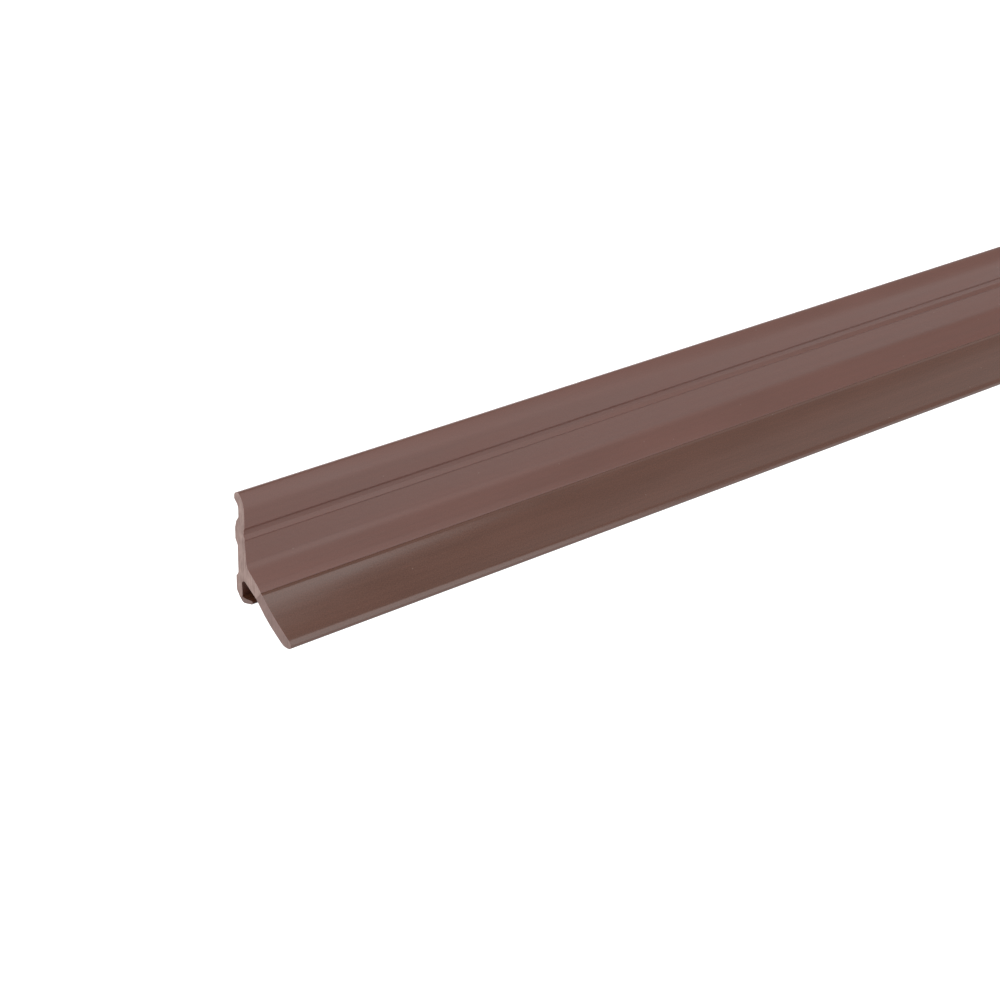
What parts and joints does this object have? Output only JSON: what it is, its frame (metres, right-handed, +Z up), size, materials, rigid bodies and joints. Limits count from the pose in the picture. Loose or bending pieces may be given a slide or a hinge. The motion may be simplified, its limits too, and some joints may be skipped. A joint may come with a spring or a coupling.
{
  "type": "door sweep",
  "caption": "Straight brown PVC strip that seals the gap under a door: stiff flange with a head bead, fixing groove, tape recess, soft front flap and small soft rear lip.",
  "frame": {"origin": "middle of the strip's length, on the plane of the door face, level with the bottom of the front fixing groove", "axes": "+X along the strip, +Y towards the door, +Z up; the front, which faces the room, is -Y"},
  "size_m": [1, 0.0202, 0.0376],
  "materials": {
    "hard_pvc": "satin brown, extruded",
    "soft_pvc": "satin brown, soft",
    "foam": "fine closed-cell foam",
    "liner_film": "waxy film"
  },
  "bodies": {
    "carrier": {"carrier_profile": "hard_pvc", "foam_tape": "foam"},
    "flap": {"front_flap": "soft_pvc"},
    "lip": {"rear_lip": "soft_pvc"},
    "liner": {"release_liner": "liner_film"}
  },
  "joints": [
    {"name": "front_flap_flex", "type": "hinge", "parent": "carrier", "child": "flap", "pos_m": [0, -0.0089, -0.0161], "axis": [1, 0, 0], "range_deg": [-35, 20], "stiffness_Nm_per_rad": 0.7},
    {"name": "rear_lip_flex", "type": "hinge", "parent": "carrier", "child": "lip", "pos_m": [0, -0.00185, -0.0175], "axis": [1, 0, 0], "range_deg": [-30, 30], "stiffness_Nm_per_rad": 0.1},
    {"name": "liner_peel", "type": "slide", "parent": "carrier", "child": "liner", "axis": [0, 1, 0], "range_m": [0, 0.015]}
  ]
}
